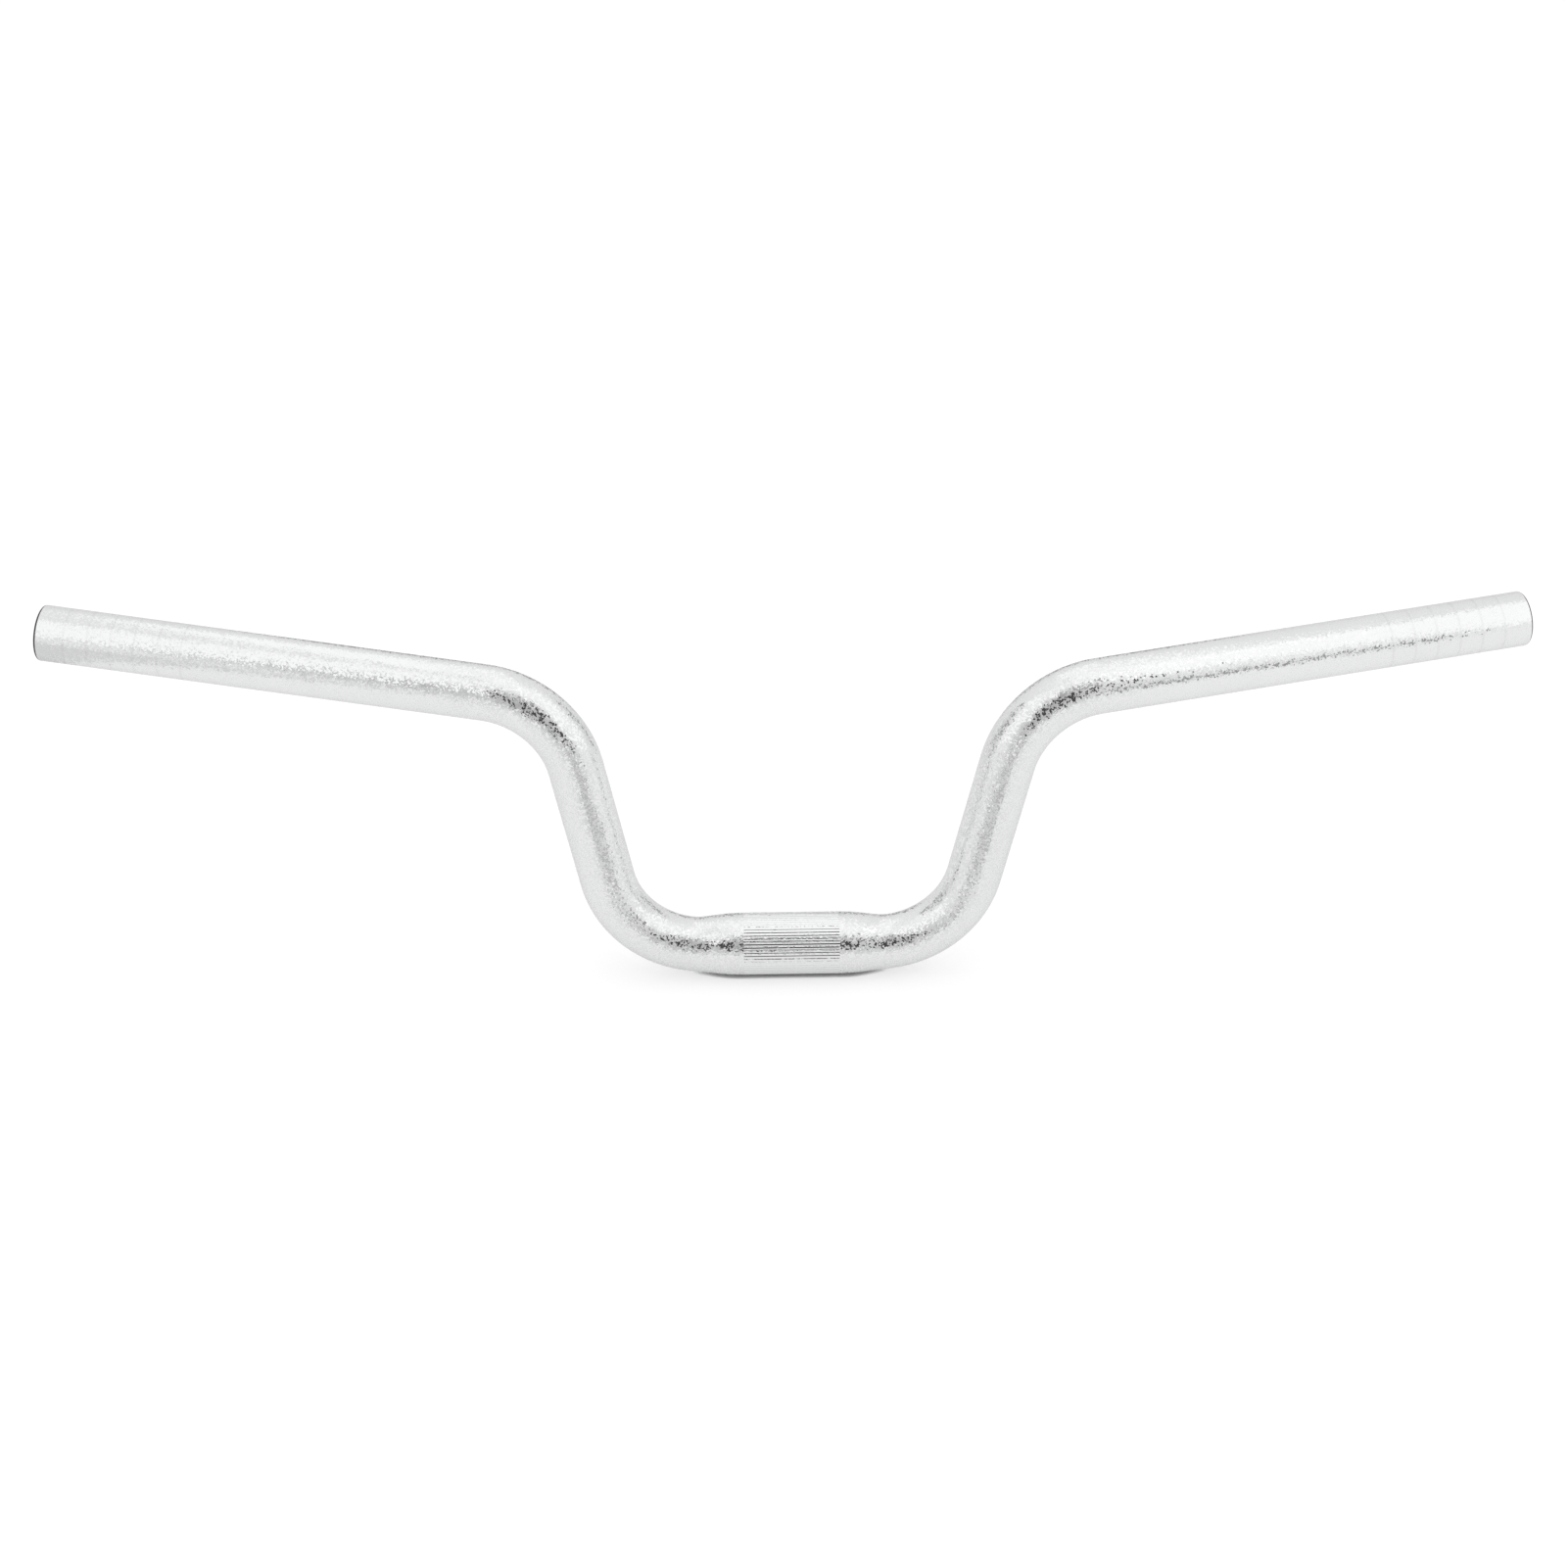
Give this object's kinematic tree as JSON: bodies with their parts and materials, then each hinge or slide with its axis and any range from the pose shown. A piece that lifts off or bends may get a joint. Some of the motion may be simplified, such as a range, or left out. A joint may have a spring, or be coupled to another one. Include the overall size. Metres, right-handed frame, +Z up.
{
  "type": "riser handlebar",
  "caption": "One-piece tubular riser handlebar in satin silver aluminium, with a swelled and knurled middle for the stem clamp and straight arms swept up and back.",
  "frame": {"origin": "middle of the stem clamp, on its axis", "axes": "+X along the clamp to the rider's left, +Y back to the rider, +Z up along the rise"},
  "size_m": [0.5938, 0.0557, 0.1507],
  "materials": {
    "satin_aluminium": "blasted and clear anodised, satin"
  },
  "bodies": {
    "root": {"handlebar": "satin_aluminium"}
  },
  "joints": []
}
